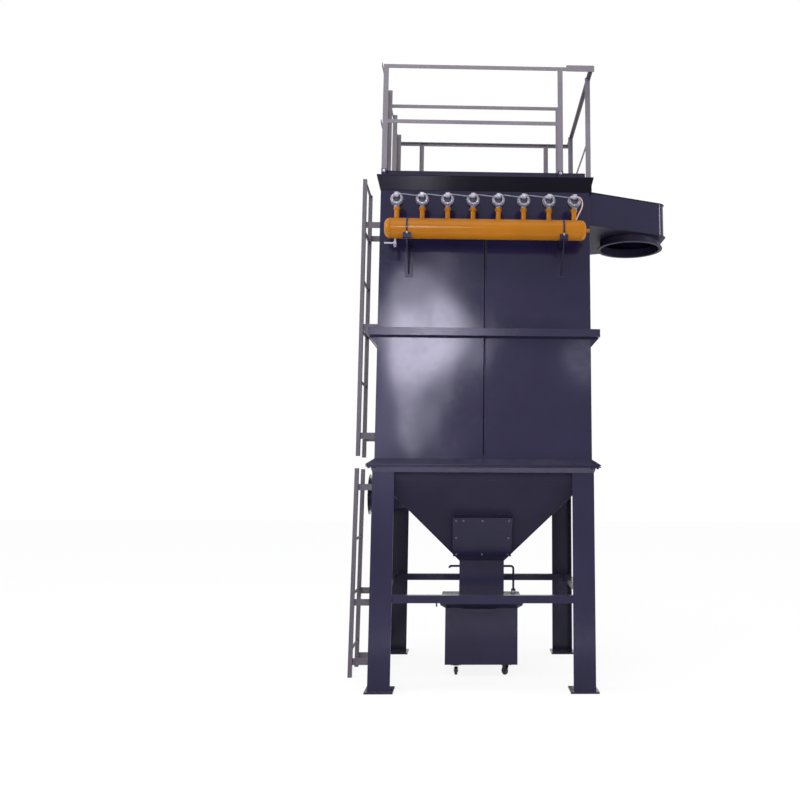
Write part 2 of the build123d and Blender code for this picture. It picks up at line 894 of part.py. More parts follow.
def tank_bracket(side):
    """A saddle block under the tank, on a triangular plate from the casing."""
    x = side * bracket_half_span
    half = bracket_width / 2
    low = tank_z - tank_radius - 8
    wall = -half_depth
    reach = tank_y - tank_radius * 0.6
    shelf = block(x - half, x + half, reach, wall, low - bracket_plate, low)
    back_plate = block(x - half, x + half, wall - bracket_plate, wall, low - bracket_drop, low)
    web = prism_x([(wall, low), (reach + 10, low - bracket_plate), (reach + 10, low - 34),
                   (wall, low - bracket_drop + 12)], x - bracket_plate / 2, x + bracket_plate / 2)
    saddle = block(x - half, x + half, tank_y - tank_radius * 0.8, tank_y + tank_radius * 0.8,
                   low, low + saddle_height)
    saddle -= rod((x - half - 1, tank_y, tank_z), (x + half + 1, tank_y, tank_z), tank_radius)
    return shelf + back_plate + web + saddle


def tank_strap(side):
    """A half band over the tank that is bolted down to the saddle."""
    x = side * bracket_half_span
    half = strap_width / 2
    outer = tank_radius + strap_thickness
    band = tube((x - half, tank_y, tank_z), (x + half, tank_y, tank_z), outer, tank_radius)
    low = tank_z - tank_radius - 8 + saddle_height
    band -= block(x - half - 1, x + half + 1, tank_y - 2 * outer, tank_y + 2 * outer,
                  low - 2 * outer, low)
    return band


def drain_cock():
    top = tank_z - tank_radius
    low = top - drain_length
    pipe = rod((drain_x, tank_y, low), (drain_x, tank_y, tank_z), drain_radius) - tank_solid(0)
    pipe = min(pipe.solids(), key=lambda solid: solid.center().Z)
    z = top - drain_length * 0.62
    ball = rod((drain_x, tank_y, z - 18), (drain_x, tank_y, z + 18), drain_body_radius)
    stem = rod((drain_x, tank_y, z), (drain_x, tank_y - drain_body_radius - 14, z), 4)
    return pipe + ball + stem


def drain_lever():
    z = tank_z - tank_radius - drain_length * 0.62
    y0 = tank_y - drain_body_radius - 8
    y1 = y0 - drain_lever_thickness
    half = drain_lever_width / 2
    hub = rod((drain_x, y0, z), (drain_x, y1, z), half + 3)
    bar = block(drain_x - drain_lever_length, drain_x, y0, y1, z - half, z + half)
    bore = rod((drain_x, y0 + 1, z), (drain_x, y1 - 1, z), 4 + pin_clearance)
    return hub + bar - bore


# Outlet hood: straight tapering sides, a flat end and rounded corners between them

def hood_half_depth(x):
    """Half of the hood's depth at a distance x from the middle, on its straight sides."""
    return hood_wall_half_depth - (x - half_width) * math.tan(math.radians(hood_taper))


def hood_slab(offset, z0, z1, start_x):
    """A slab in the hood's outline, moved outward by offset."""
    aside = offset / math.cos(math.radians(hood_taper))
    end_x = hood_end_x + offset
    start_y = hood_half_depth(start_x) + aside
    end_y = hood_half_depth(end_x) + aside
    slab = prism_z([(start_x, -start_y), (end_x, -end_y), (end_x, end_y), (start_x, start_y)], z0, z1)
    corners_out = slab.edges().filter_by(Axis.Z).group_by(Axis.X)[-1]
    return Pos(0, hood_y, 0) * fillet(corners_out, hood_corner_radius + offset)


def outlet_hood_wall():
    outer = hood_slab(0, hood_bottom + sheet, hood_top - sheet, half_width)
    inner = hood_slab(-sheet, hood_bottom, hood_top, half_width - 2 * sheet)
    return outer - inner


def outlet_hood_plates():
    top = hood_slab(hood_lip / 2, hood_top - sheet, hood_top, half_width)
    bottom = hood_slab(hood_lip, hood_bottom, hood_bottom + sheet, half_width)
    bottom -= rod((collar_x, hood_y, hood_bottom - 1), (collar_x, hood_y, hood_bottom + sheet + 1),
                  collar_radius - duct_wall)
    return [top, bottom]


def outlet_collar():
    low = (collar_x, hood_y, collar_bottom)
    high = (collar_x, hood_y, hood_bottom)
    bore = collar_radius - duct_wall
    pipe = tube(low, high, collar_radius, bore)
    ring = tube(low, (collar_x, hood_y, collar_bottom + duct_flange_thickness),
                collar_radius + collar_flange_reach, bore)
    for hole in bolt_ring(duct_bolt_count, collar_radius + collar_flange_reach / 2 + 1,
                          duct_bolt_radius, Plane(origin=low), 2 * duct_flange_thickness):
        ring -= hole
    return pipe + ring


# Ladder

def ladder_axis_x(z):
    """Where the middle of the stringers is at a height."""
    if z > ladder_split:
        return ladder_x
    return ladder_foot_x + (ladder_knee_x - ladder_foot_x) * z / ladder_split


def stringer(side, z0, z1):
    half = stringer_x / 2
    low = ladder_axis_x(z0)
    high = ladder_axis_x(z1)
    y0 = ladder_centre_y + side * ladder_width / 2
    y1 = y0 - side * stringer_y
    return prism_y([(low - half, z0), (low + half, z0), (high + half, z1), (high - half, z1)],
                   min(y0, y1), max(y0, y1))


def ladder_length(z0, z1):
    pieces = stringer(-1, z0, z1) + stringer(1, z0, z1)
    reach = ladder_width / 2 - stringer_y / 2
    count = math.ceil((ladder_top - first_rung) / rung_pitch)
    for index in range(count):
        z = first_rung + index * rung_pitch
        if z0 < z < z1:
            x = ladder_axis_x(z)
            pieces += rod((x, ladder_centre_y - reach, z), (x, ladder_centre_y + reach, z), rung_radius)
    return pieces


def ladder():
    return [ladder_length(0, ladder_split), ladder_length(ladder_upper_start, ladder_top)]


def standoff_y(side):
    """The two faces of a flat bar that butts against the middle of a stringer."""
    middle = ladder_centre_y + side * (ladder_width - stringer_y) / 2
    return middle - standoff_thickness / 2, middle + standoff_thickness / 2


def standoff_start(z):
    return ladder_axis_x(z) + stringer_x / 2


def casing_standoff(z, side):
    """A flat bar from a stringer to a pad on the casing; one has a brace down to the girdle."""
    y0, y1 = standoff_y(side)
    z0 = z - standoff_height / 2
    z1 = z + standoff_height / 2
    wall = -half_width
    margin = standoff_pad_margin
    bar = block(standoff_start(z), wall, y0, y1, z0, z1)
    bar += block(wall - standoff_pad, wall, y0 - margin, y1 + margin, z0 - margin, z1 + margin)
    if z == braced_standoff:
        girdle_top = girdle_bottom + girdle_size
        outer = wall - girdle_reach
        bar += prism_y([(standoff_start(z), z0), (wall, z0), (wall, girdle_top),
                        (outer, girdle_top), (outer, girdle_bottom)], y0, y1)
    return bar


def hopper_standoff(side):
    """A flat bar from a stringer to the hopper's sloping wall."""
    y0, y1 = standoff_y(side)
    z0 = hopper_standoff_height - standoff_height / 2
    z1 = z0 + standoff_height
    bar = block(ladder_axis_x(z0), -chute_half, y0, y1, z0, z1)
    bar -= hopper_solid(0) + stringer(side, 0, ladder_split)
    return min(bar.solids(), key=lambda solid: solid.center().X)


def leg_tie(side, z):
    """A flat bar that runs from a stringer toward the frame and turns along it to the nearest leg."""
    y0, y1 = standoff_y(side)
    outer_face = -leg_outer_x
    near_leg = side * (leg_y - leg_section / 2 + leg_tie_overlap)
    thickness = standoff_thickness
    near_y, far_y = (y0, y1) if side > 0 else (y1, y0)
    start = ladder_axis_x(z)
    outline = [(start, near_y), (outer_face, near_y), (outer_face, near_leg),
               (outer_face - thickness, near_leg), (outer_face - thickness, far_y), (start, far_y)]
    bar = prism_z(outline, z - standoff_height / 2, z + standoff_height / 2)
    bar -= stringer(side, 0, ladder_split)
    return max(bar.solids(), key=lambda solid: solid.volume)


def ladder_brackets():
    brackets = [hopper_standoff(-1), hopper_standoff(1)]
    for z in casing_standoffs:
        brackets.append(casing_standoff(z, -1))
        brackets.append(casing_standoff(z, 1))
    for side, heights in ((-1, front_leg_ties), (1, rear_leg_ties)):
        for z in heights:
            brackets.append(leg_tie(side, z))
    return brackets


# Railings

def angle_post(x, y, z0, z1, side_x, side_y):
    """An upright angle bar with its corner at (x, y) and legs towards the inside."""
    post = block(x, x + side_x * rail_size, y, y + side_y * rail_leaf, z0, z1)
    return post + block(x, x + side_x * rail_leaf, y, y + side_y * rail_size, z0, z1)


def rail_x(x0, x1, y, side_y, top, height, leaf):
    """A level angle bar along X, with its upright leg at y and its flat leg on top."""
    bar = block(x0, x1, y, y + side_y * leaf, top - height, top)
    return bar + block(x0, x1, y, y + side_y * height, top - leaf, top)


def front_railing():
    """Left corner post, gate post, two rails and the wider bar over the gate's opening."""
    y = -rail_reach
    base = casing_top + roof_sheet
    post_end = gate_post_x + rail_size / 2
    bars = rail_x(front_post_x, gate_bar_start, y, 1, front_rail_top, top_rail_height, rail_leaf)
    bars += rail_x(gate_bar_start, gate_bar_end, y, 1, gate_bar_top, gate_bar_height, rail_leaf)
    bars += block(front_post_x, post_end, y, y + rail_leaf, rail_mid - mid_rail_height, rail_mid)
    bars += angle_post(front_post_x, y, base, front_rail_top, 1, 1)
    bars += angle_post(post_end, y, base, front_rail_top, -1, 1)
    return bars


def rear_railing():
    y = rail_reach
    base = casing_top + roof_sheet
    bars = rail_x(rail_left, rail_right, y, -1, rail_top, top_rail_height, rail_leaf)
    bars += block(rail_left, rail_right, y - rail_leaf, y, rail_mid - mid_rail_height, rail_mid)
    bars += angle_post(rear_post_left, y, base, rail_top, 1, -1)
    bars += angle_post(rear_post_right, y, base, rail_top, -1, -1)
    return bars


def rail_y(x, side_x, y0, y1, top, height):
    """A flat bar on edge along Y, with its outer face at x."""
    return block(x, x + side_x * rail_leaf, y0, y1, top - height, top)


def left_railing():
    """One top rail; the middle rail stops at the two posts beside the ladder."""
    x = rail_left
    base = casing_top + roof_sheet
    front = -rail_reach + rail_leaf
    rear = rail_reach - top_rail_height
    bars = rail_y(x, 1, front, rear, rail_top, top_rail_height)
    for y0, y1 in ((front, opening_front_y), (opening_rear_y, rear)):
        bars += rail_y(x, 1, y0, y1, rail_mid, mid_rail_height)
    for y, turn in ((opening_front_y, -1), (opening_rear_y, 1), (side_post_y, -1)):
        bars += angle_post(x, y, base, rail_top, 1, turn)
    return bars


def right_railing():
    """One top rail that reaches the gate bar; the middle rail starts at the front post."""
    x = rail_right
    base = casing_top + roof_sheet
    front = -rail_reach + gate_bar_height
    rear = rail_reach - top_rail_height
    bars = rail_y(x, -1, front, rear, rail_top, top_rail_height)
    bars += block(x, x - top_rail_height, front, rear, rail_top - rail_leaf, rail_top)
    bars += rail_y(x, -1, -side_post_y, rear, rail_mid, mid_rail_height)
    for turn in (-1, 1):
        bars += angle_post(x, turn * side_post_y, base, rail_top, -1, -turn)
    return bars


def roof_crossbar():
    x0 = rail_left + rail_leaf
    x1 = crossbar_end_x
    bar = rail_x(x0, x1, crossbar_y, 1, rail_top, top_rail_height, rail_leaf)
    base = casing_top + roof_height
    return bar + angle_post(x1, crossbar_y, base, rail_top, -1, 1)


save("legs", *legs())
save("tie_beams", tie_beam_x(-1), tie_beam_x(1), tie_beam_y(-1), tie_beam_y(1))
save("ring_beam", ring_beam())
save("hopper_front_rear_walls", *hopper_front_rear_walls())
save("hopper_side_walls", *hopper_side_walls())
save("hopper_flange", hopper_flange())
save("flange_gasket", flange_gasket())
save("access_frame", access_frame())
save("access_cover", access_cover())
save("inlet_duct", inlet_duct())
save("discharge_chute", discharge_chute())
save("bin_cover", bin_cover())
save("cover_brackets", lever_ear(-1), lever_ear(1), *clamp_ears())
save("lifting_lever", lifting_lever())
save("clamp_handle", clamp_handle())
save("dust_bin", dust_bin())
save("caster_plates", *caster_plates())
caster_names = ["front_left", "front_right", "rear_left", "rear_right"]
for caster_name, place, turn in zip(caster_names, caster_places(), caster_turns):
    seat = Pos(*place, 0) * Rot(0, 0, turn)
    save("caster_fork_" + caster_name, seat * caster_fork())
    save("caster_wheel_" + caster_name, seat * caster_wheel())
save("lower_front_rear_walls", *lower_front_rear_walls())
save("lower_side_walls", *lower_side_walls())
save("casing_flange", casing_flange())
save("girdle", girdle())
save("upper_front_rear_walls", *upper_front_rear_walls())
save("upper_side_walls", *upper_side_walls())
save("eaves", eaves())
save("roof_pan", roof_pan())
save("air_tank", air_tank())
save("valve_nipples", *valve_nipples())
save("pulse_valves", *[pulse_valve(x) for x in valve_places()])
save("solenoid_coils", *[solenoid_coil(x) for x in valve_places()])
save("coil_leads", *[coil_lead(x) for x in valve_places()[:-1]])
save("blow_pipes", *blow_pipes())
save("tank_brackets", tank_bracket(-1), tank_bracket(1))
save("tank_straps", tank_strap(-1), tank_strap(1))
save("drain_cock", drain_cock())
save("drain_lever", drain_lever())
save("outlet_hood_wall", outlet_hood_wall())
save("outlet_hood_plates", *outlet_hood_plates())
save("outlet_collar", outlet_collar())
save("ladder", *ladder())
save("ladder_brackets", *ladder_brackets())
save("front_railing", front_railing())
save("rear_railing", rear_railing())
save("side_railings", left_railing(), right_railing())
save("roof_crossbar", roof_crossbar())
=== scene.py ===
import math

import bmesh
import bpy
from mathutils import Matrix, Vector


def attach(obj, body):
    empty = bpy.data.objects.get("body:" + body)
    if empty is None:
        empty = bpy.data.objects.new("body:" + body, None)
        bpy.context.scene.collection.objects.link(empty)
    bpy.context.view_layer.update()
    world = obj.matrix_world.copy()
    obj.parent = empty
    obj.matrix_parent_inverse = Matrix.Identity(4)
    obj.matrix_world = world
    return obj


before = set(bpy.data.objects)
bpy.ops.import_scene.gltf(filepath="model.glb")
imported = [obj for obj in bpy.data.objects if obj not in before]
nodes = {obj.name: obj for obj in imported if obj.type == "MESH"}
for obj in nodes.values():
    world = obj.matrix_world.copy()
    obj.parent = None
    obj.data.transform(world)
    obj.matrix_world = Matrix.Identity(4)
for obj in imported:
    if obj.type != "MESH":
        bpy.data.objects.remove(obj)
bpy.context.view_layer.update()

# Camera, fitted to the photograph of 800 by 800 pixels
photo_size = 800.0
focal_pixels = 884.97
principal_x = 497.84
principal_y = 360.92
camera_place = Vector((-0.09795, -7.34027, 1.45168))
camera_yaw = math.radians(1.747)
camera_pitch = math.radians(8.042)
camera_roll = math.radians(0.273)
sensor_width = 36.0

# Sizes of the construction that the small pieces are placed by, in metres
leg_x = 0.81
leg_y = 0.825
leg_section = 0.16
base_plate_top = 0.012
hopper_reach = 0.766
hopper_knee = 1.49
hopper_bottom = 0.868
chute_half = 0.176
flange_edge = 0.858
flange_underside = 1.586
access_centre = 0.36
access_half_width = 0.226
access_half_length = 0.21
access_rise = 0.042
access_plate = 0.006
tank_radius = 0.076
tank_y = -1.0
tank_z = 3.329
tank_weld_x = 0.7
strap_x = 0.575
strap_end_z = 3.289
valve_count = 8
valve_pitch = 0.1875
valve_z = 3.546
valve_face_y = -1.041
lid_face_y = -1.029
coil_face_y = -1.075
coil_z = 3.568
coil_half = 0.015
nipple_radius = 0.018
ladder_foot_x = -1.003
ladder_knee_x = -0.99
ladder_knee_z = 1.585
ladder_upper_x = -0.985
ladder_inner_front = -0.26
ladder_inner_rear = 0.11
rung_count = 10
rung_pitch = 0.415
first_rung = 0.203
rung_radius = 0.011
roof_z = 3.804
front_lug_y = -0.826
left_lug_x = -0.818
caster_x = 0.194
caster_y = 0.205
caster_plate_z = 0.085
girdle_reach = 0.862
girdle_low = 2.556
girdle_high = 2.614
seam_low = 1.66
seam_face_y = -0.803


def add_camera():
    forward = Vector((math.sin(camera_yaw) * math.cos(camera_pitch),
                      math.cos(camera_yaw) * math.cos(camera_pitch),
                      math.sin(camera_pitch)))
    level_right = Vector((math.cos(camera_yaw), -math.sin(camera_yaw), 0))
    level_up = level_right.cross(forward)
    right = math.cos(camera_roll) * level_right + math.sin(camera_roll) * level_up
    up = math.cos(camera_roll) * level_up - math.sin(camera_roll) * level_right
    data = bpy.data.cameras.new("camera")
    data.sensor_width = sensor_width
    data.lens = sensor_width * focal_pixels / photo_size
    data.shift_x = (photo_size / 2 - principal_x) / photo_size
    data.shift_y = (principal_y - photo_size / 2) / photo_size
    data.clip_end = 200.0
    camera = bpy.data.objects.new("camera", data)
    bpy.context.scene.collection.objects.link(camera)
    turn = Matrix((right, up, -forward)).transposed().to_4x4()
    camera.matrix_world = Matrix.Translation(camera_place) @ turn
    bpy.context.scene.camera = camera


add_camera()
bpy.context.scene.view_settings.view_transform = "Standard"

# Colours, as linear values
paint_colour = (0.0118, 0.0096, 0.0315)
matt_colour = (0.0215, 0.019, 0.036)
# The eaves band: the walls' paint drawn much darker, as painted shade on the band
eaves_shade_colour = (0.004, 0.0034, 0.0075)
railing_colour = (0.13, 0.115, 0.13)
# The ladder: the railings' grey drawn darker, as painted shade
ladder_shade_colour = (0.075, 0.063, 0.078)
tank_colour = (0.325, 0.115, 0.0035)
aluminium_colour = (0.2, 0.19, 0.23)
# The dished middles of the valve lids: the aluminium drawn dark, as painted shade in the dish
recess_shade_colour = (0.05, 0.05, 0.06)
zinc_colour = (0.42, 0.42, 0.45)
nickel_colour = (0.22, 0.21, 0.23)
coil_colour = (0.3, 0.29, 0.33)
lead_colour = (0.15, 0.145, 0.155)
hose_colour = (0.46, 0.3, 0.25)
rubber_colour = (0.012, 0.012, 0.013)
# The strip down the front seam: near black, as painted shade of the gap between the sheets
seam_shade_colour = (0.002, 0.002, 0.003)
dust_colour = (0.1, 0.095, 0.1)


# Materials

def new_material(name):
    material = bpy.data.materials.new(name)
    material.use_nodes = True
    shader = material.node_tree.nodes["Principled BSDF"]
    return material, material.node_tree, shader


def texture_place(tree, stretch=(1.0, 1.0, 1.0)):
    """Positions in metres, as seen from the object's own frame."""
    place = tree.nodes.new("ShaderNodeTexCoord").outputs["Object"]
    if stretch == (1.0, 1.0, 1.0):
        return place
    mapping = tree.nodes.new("ShaderNodeMapping")
    mapping.inputs["Scale"].default_value = stretch
    tree.links.new(place, mapping.inputs["Vector"])
    return mapping.outputs["Vector"]


def noise(tree, place, scale, detail=3.0, roughness=0.5):
    node = tree.nodes.new("ShaderNodeTexNoise")
    node.inputs["Scale"].default_value = scale
    node.inputs["Detail"].default_value = detail
    node.inputs["Roughness"].default_value = roughness
    tree.links.new(place, node.inputs["Vector"])
    return node.outputs["Fac"]


def remap(tree, value, low, high, out_low=0.0, out_high=1.0):
    node = tree.nodes.new("ShaderNodeMapRange")
    node.inputs["From Min"].default_value = low
    node.inputs["From Max"].default_value = high
    node.inputs["To Min"].default_value = out_low
    node.inputs["To Max"].default_value = out_high
    tree.links.new(value, node.inputs["Value"])
    return node.outputs["Result"]


def multiply(tree, first, second):
    node = tree.nodes.new("ShaderNodeMath")
    node.operation = "MULTIPLY"
    tree.links.new(first, node.inputs[0])
    tree.links.new(second, node.inputs[1])
    return node.outputs[0]


def mix_colour(tree, share, first, second):
    """A mix of two colours; each is a colour tuple or a socket."""
    node = tree.nodes.new("ShaderNodeMix")
    node.data_type = "RGBA"
    tree.links.new(share, node.inputs[0])
    for socket, value in ((node.inputs[6], first), (node.inputs[7], second)):
        if isinstance(value, tuple):
            socket.default_value = (*value, 1.0)
        else:
            tree.links.new(value, socket)
    return node.outputs[2]


def shade(colour, factor):
    return tuple(min(1.0, channel * factor) for channel in colour)


def bump(tree, height, strength, distance, below=None):
    node = tree.nodes.new("ShaderNodeBump")
    node.inputs["Strength"].default_value = strength
    node.inputs["Distance"].default_value = distance
    tree.links.new(height, node.inputs["Height"])
    if below is not None:
        tree.links.new(below, node.inputs["Normal"])
    return node.outputs["Normal"]


def rounded_edges(tree, radius):
    node = tree.nodes.new("ShaderNodeBevel")
    node.samples = 4
    node.inputs["Radius"].default_value = radius
    return node.outputs["Normal"]


def settled_dust(tree, place):
    """How much dust lies at a point: only on faces that look up, in patches."""
    geometry = tree.nodes.new("ShaderNodeNewGeometry")
    parts = tree.nodes.new("ShaderNodeSeparateXYZ")
    tree.links.new(geometry.outputs["Normal"], parts.inputs["Vector"])
    level = remap(tree, parts.outputs["Z"], 0.6, 1.0)
    cloud = noise(tree, place, scale=9.0, detail=8.0, roughness=0.65)
    patches = remap(tree, cloud, 0.3, 0.8, out_low=0.12, out_high=0.5)
    return multiply(tree, level, patches)


def paint(name, colour, gloss, wave=0.0, edge=0.003, shine=0.5):
    """Sprayed enamel: slightly uneven colour and gloss, dust on top faces; on sheets, slow waves."""
    material, tree, shader = new_material(name)
    place = texture_place(tree)
    patches = remap(tree, noise(tree, place, scale=2.4, detail=4.0), 0.35, 0.65)
    tone = mix_colour(tree, patches, shade(colour, 0.9), shade(colour, 1.1))
    tone = mix_colour(tree, settled_dust(tree, place), tone, dust_colour)
    tree.links.new(tone, shader.inputs["Base Color"])
    grain = noise(tree, place, scale=26.0, detail=4.0, roughness=0.6)
    unevenness = remap(tree, grain, 0.3, 0.7, out_low=gloss - 0.02, out_high=gloss + 0.03)
    tree.links.new(unevenness, shader.inputs["Roughness"])
    shader.inputs["Specular IOR Level"].default_value = shine
    normal = rounded_edges(tree, edge)
    if wave > 0:
        tall_place = texture_place(tree, stretch=(1.0, 1.0, 0.7))
        buckles = noise(tree, tall_place, scale=1.9, detail=1.0, roughness=0.35)
        normal = bump(tree, buckles, strength=1.0, distance=wave, below=normal)
    flow = noise(tree, place, scale=90.0, detail=2.0)
    normal = bump(tree, flow, strength=0.5, distance=0.0003, below=normal)
    tree.links.new(normal, shader.inputs["Normal"])
    return material


def metal(name, colour, gloss, metallic=1.0, edge=0.0015):
    """Bare or zinc plated metal with a mottled, grainy skin."""
    material, tree, shader = new_material(name)
    place = texture_place(tree)
    grain = noise(tree, place, scale=45.0, detail=5.0, roughness=0.65)
    share = remap(tree, grain, 0.3, 0.7)
    tone = mix_colour(tree, share, shade(colour, 0.8), shade(colour, 1.1))
    tree.links.new(tone, shader.inputs["Base Color"])
    unevenness = remap(tree, grain, 0.3, 0.7, out_low=gloss - 0.08, out_high=gloss + 0.1)
    tree.links.new(unevenness, shader.inputs["Roughness"])
    shader.inputs["Metallic"].default_value = metallic
    normal = rounded_edges(tree, edge)
    pores = noise(tree, place, scale=400.0, detail=2.0)
    normal = bump(tree, pores, strength=0.15, distance=0.0005, below=normal)
    tree.links.new(normal, shader.inputs["Normal"])
    return material


def rubber(name, colour, gloss, shine=0.5):
    """Rubber or moulded plastic with a fine uneven skin."""
    material, tree, shader = new_material(name)
    place = texture_place(tree)
    grain = noise(tree, place, scale=90.0, detail=4.0)
    share = remap(tree, grain, 0.35, 0.65)
    tone = mix_colour(tree, share, shade(colour, 0.8), shade(colour, 1.25))
    tree.links.new(tone, shader.inputs["Base Color"])
    unevenness = remap(tree, grain, 0.3, 0.7, out_low=gloss - 0.05, out_high=gloss + 0.05)
    tree.links.new(unevenness, shader.inputs["Roughness"])
    shader.inputs["Specular IOR Level"].default_value = shine
    tree.links.new(bump(tree, grain, strength=0.2, distance=0.0008), shader.inputs["Normal"])
    return material


sheet_paint = paint("sheet_paint", paint_colour, 0.12, wave=0.014, shine=0.25)
matt_paint = paint("matt_paint", matt_colour, 0.42, shine=0.08)
body_paint = paint("body_paint", paint_colour, 0.2, shine=0.25)
# The eaves band's paint carries painted shade: it is darker than the walls' paint
eaves_shaded_paint = paint("eaves_shaded_paint", eaves_shade_colour, 0.14, shine=0.08)
railing_paint = paint("railing_paint", railing_colour, 0.45, edge=0.002)
# The ladder's paint is the railings' grey in painted shade
shaded_ladder_paint = paint("shaded_ladder_paint", ladder_shade_colour, 0.42, edge=0.002)
tank_paint = paint("tank_paint", tank_colour, 0.14, shine=0.12)
cast_aluminium = metal("cast_aluminium", aluminium_colour, 0.4)
# The lid dishes' metal is dark as painted shade
shaded_recess_metal = metal("shaded_recess_metal", recess_shade_colour, 0.5, metallic=0.6)
zinc = metal("zinc", zinc_colour, 0.3)
nickel = metal("nickel", nickel_colour, 0.35)
coil_plastic = rubber("coil_plastic", coil_colour, 0.35)
lead_sheath = rubber("lead_sheath", lead_colour, 0.45)
hose_sheath = rubber("hose_sheath", hose_colour, 0.4)
black_rubber = rubber("black_rubber", rubber_colour, 0.6)
# The seam strip's near-black finish is painted shade of the gap
seam_shade_paint = rubber("seam_shade_paint", seam_shade_colour, 0.8, shine=0.05)

sheet_nodes = ["lower_front_rear_walls", "lower_side_walls", "upper_front_rear_walls", "upper_side_walls",
               "outlet_hood_wall"]
matt_nodes = ["hopper_front_rear_walls", "hopper_side_walls", "outlet_hood_plates", "outlet_collar"]
railing_nodes = ["front_railing", "rear_railing", "side_railings", "roof_crossbar"]
ladder_nodes = ["ladder", "ladder_brackets"]
tank_nodes = ["air_tank", "valve_nipples"]
single_materials = {"pulse_valves": cast_aluminium, "solenoid_coils": coil_plastic,
                    "coil_leads": lead_sheath, "flange_gasket": black_rubber,
                    "blow_pipes": zinc, "drain_cock": nickel, "drain_lever": nickel,
                    "eaves": eaves_shaded_paint}


def material_of(name):
    if name in single_materials:
        return single_materials[name]
    if name in sheet_nodes:
        return sheet_paint
    if name in matt_nodes:
        return matt_paint
    if name in railing_nodes:
        return railing_paint
    if name in ladder_nodes:
        return shaded_ladder_paint
    if name in tank_nodes:
        return tank_paint
    if name.startswith("caster"):
        return black_rubber
    return body_paint


# Edges that turn by more than this are drawn sharp
crease_angle = math.radians(35)


def dress_frame():
    for name, node in nodes.items():
        node.data.materials.clear()
        node.data.materials.append(material_of(name))
        node.data.shade_smooth()
        node.data.set_sharp_from_angle(angle=crease_angle)


dress_frame()


# Shapes for the small pieces

def seat(point, normal):
    """A frame at a point with its Z along the normal."""
    turn = Vector(normal).to_track_quat("Z", "Y").to_matrix().to_4x4()
    return Matrix.Translation(Vector(point)) @ turn


def join_rings(shape, rings):
    """Faces from each ring to the next one, and a cap at both ends."""
    sides = len(rings[0])
    for lower, upper in zip(rings, rings[1:]):
        for index in range(sides):
            following = (index + 1) % sides
            shape.faces.new((lower[index], lower[following], upper[following], upper[index]))
    shape.faces.new(list(reversed(rings[0])))
    shape.faces.new(rings[-1])


def add_turned(shape, place, profile, sides, start_angle=0.0):
    """A closed turned body, or a prism when it has few sides; the profile lists radius and height."""
    rings = []
    for radius, height in profile:
        ring = []
        for index in range(sides):
            angle = start_angle + 2 * math.pi * index / sides
            point = Vector((radius * math.cos(angle), radius * math.sin(angle), height))
            ring.append(shape.verts.new(place @ point))
        rings.append(ring)
    join_rings(shape, rings)


# Proportions of a bolt or nut, as shares of the width over its flats
washer_share = 0.64
washer_rise_share = 0.1
head_rise_share = 0.56
stud_share = 0.29
stud_start_share = 0.6
stud_chamfer_share = 0.85
stud_end_share = 0.9
round_sides = 24
hexagon_sides = 6
stud_sides = 16


def add_bolt(shape, point, normal, across, turn=0.0):
    """A hexagon head on a washer; across is the width over its flats."""
    place = seat(point, normal)
    washer = across * washer_share
    lift = across * washer_rise_share
    corner = across / math.sqrt(3)
    top = lift + across * head_rise_share
    washer_profile = [(washer, 0), (washer, lift * 0.7), (washer - lift * 0.3, lift)]
    head_profile = [(corner, lift), (corner, top - corner * 0.12), (corner * 0.84, top)]
    add_turned(shape, place, washer_profile, round_sides)
    add_turned(shape, place, head_profile, hexagon_sides, turn)


def add_nut_and_stud(shape, point, normal, across):
    """A hexagon nut with the end of its stud."""
    add_bolt(shape, point, normal, across)
    place = seat(point, normal)
    stud = across * stud_share
    stud_profile = [(stud, across * stud_start_share), (stud, across * stud_chamfer_share),
                    (stud * 0.8, across * stud_end_share)]
    add_turned(shape, place, stud_profile, stud_sides)


def walk(points, step):
    """Points at even distances along straight runs."""
    places = []
    for start, end in zip(points, points[1:]):
        start = Vector(start)
        way = Vector(end) - start
        count = max(1, round(way.length / step))
        for index in range(count):
            places.append(start + way * index / count)
    places.append(Vector(points[-1]))
    return places


bead_step = 0.005
bead_sides = 8
bead_crest = 1.12
bead_trough = 0.9


def add_bead(shape, points, radius):
    """A weld bead: a round cord with ripples, along straight runs."""
    places = walk(points, bead_step)
    rings = []
    for index, place in enumerate(places):
        before = places[max(index - 1, 0)]
        after = places[min(index + 1, len(places) - 1)]
        frame_here = seat(place, after - before)
        swell = radius * (bead_crest if index % 2 else bead_trough)
        ring = []
        for side in range(bead_sides):
            angle = 2 * math.pi * side / bead_sides
            ring.append(shape.verts.new(frame_here @ Vector((swell * math.cos(angle),
                                                             swell * math.sin(angle), 0))))
        rings.append(ring)
    join_rings(shape, rings)


def circle_points(centre, radius, normal, count):
    """A closed ring of points round a centre."""
    place = seat(centre, normal)
    points = []
    for index in range(count + 1):
        angle = 2 * math.pi * index / count
        points.append(place @ Vector((radius * math.cos(angle), radius * math.sin(angle), 0)))
    return points


def finish_piece(name, shape, material, body):
    """Turn a filled shape into an object that rides on a body."""
    bmesh.ops.recalc_face_normals(shape, faces=shape.faces)
    mesh = bpy.data.meshes.new(name)
    shape.to_mesh(mesh)
    shape.free()
    mesh.materials.append(material)
    mesh.shade_smooth()
    mesh.set_sharp_from_angle(angle=crease_angle)
    piece = bpy.data.objects.new(name, mesh)
    bpy.context.scene.collection.objects.link(piece)
    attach(piece, body)


# Signs of X and Y at the four corners, and on a closed walk round them
corners = [(-1, -1), (-1, 1), (1, -1), (1, 1)]
corner_walk = [(-1, -1), (1, -1), (1, 1), (-1, 1), (-1, -1)]


# Bolts of the access cover

access_bolt_inset = 0.026
extra_bolt_offset = 0.056
access_bolt_size = 0.013
access_bolt_turn = 0.4

